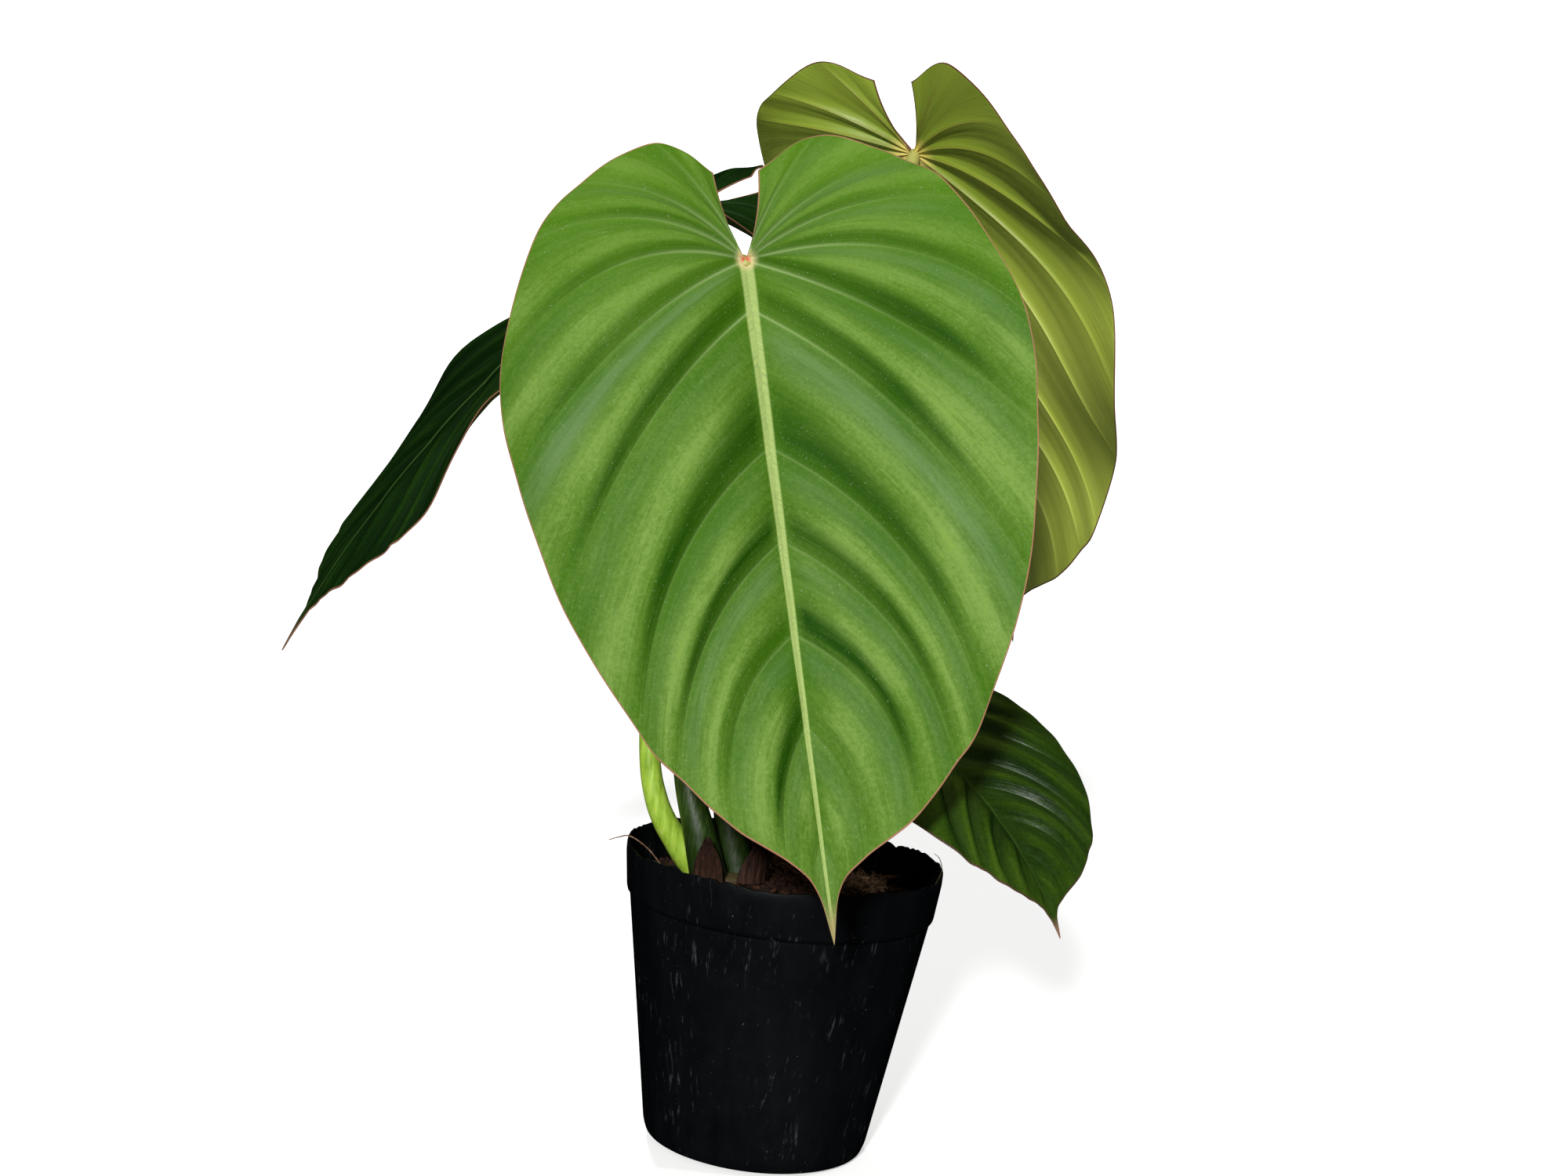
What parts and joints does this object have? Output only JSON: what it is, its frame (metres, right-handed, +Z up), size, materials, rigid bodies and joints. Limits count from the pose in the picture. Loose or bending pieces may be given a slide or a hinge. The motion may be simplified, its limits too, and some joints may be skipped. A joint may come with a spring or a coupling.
{
  "type": "potted philodendron",
  "caption": "Philodendron with heart-shaped, drip-tipped leaves on long stalks, growing from dark potting mix in a tapered black nursery pot with a rim band.",
  "frame": {"origin": "centre of the pot's underside, on the pot's axis, at the surface it stands on", "axes": "+Z up along the pot's axis; -Y is the front, where the upper side of the largest leaf faces; +X is to the right as seen from the front"},
  "size_m": [0.3308, 0.2935, 0.4459],
  "materials": {
    "black_plastic": "satin",
    "potting_mix": "matte",
    "stem": "matte",
    "leaf_front": "satin",
    "leaf_back": "satin",
    "leaf_dark": "satin",
    "stalk_green": "satin",
    "stalk_pale": "satin",
    "dry_sheath": "matte",
    "dry_moss": "matte",
    "bark": "matte"
  },
  "bodies": {
    "root": {"bark_chip_1": "bark", "bark_chip_2": "bark", "bark_chip_3": "bark", "bark_chip_4": "bark", "bark_chip_5": "bark", "bark_chip_6": "bark", "bark_chip_7": "bark", "bark_chip_8": "bark", "leaf_back": "leaf_back", "leaf_front": "leaf_front", "leaf_left": "leaf_dark", "leaf_right": "leaf_dark", "moss_tuft": "dry_moss", "pot": "black_plastic", "potting_mix": "potting_mix", "sheath_1": "dry_sheath", "sheath_2": "dry_sheath", "sheath_3": "dry_sheath", "stalk_back": "stalk_green", "stalk_front": "stalk_green", "stalk_left": "stalk_pale", "stalk_right": "stalk_green", "stem_with_roots": "stem"}
  },
  "joints": []
}
